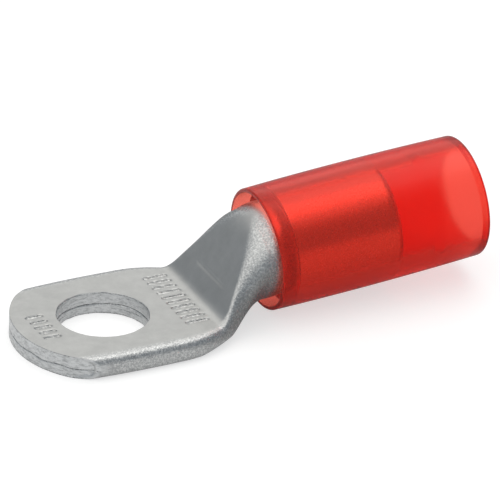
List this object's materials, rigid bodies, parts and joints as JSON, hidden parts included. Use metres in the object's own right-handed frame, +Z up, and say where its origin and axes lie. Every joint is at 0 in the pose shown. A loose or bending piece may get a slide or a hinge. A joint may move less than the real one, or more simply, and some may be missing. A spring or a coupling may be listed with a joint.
{
  "type": "ring terminal",
  "caption": "Insulated ring terminal: a tinned tubular cable lug with a flat palm and 6.4 mm stud hole, its barrel inside a translucent red sleeve.",
  "frame": {"origin": "centre of the stud hole on the palm's underside", "axes": "+X from the stud hole towards the cable, +Y across the palm, +Z up through the stud hole"},
  "size_m": [0.0343, 0.012, 0.0097],
  "materials": {
    "tinned_metal": "satin, tin plated",
    "red_plastic": "gloss, translucent"
  },
  "bodies": {
    "root": {"lug_body": "tinned_metal", "insulating_sleeve": "red_plastic"}
  },
  "joints": []
}
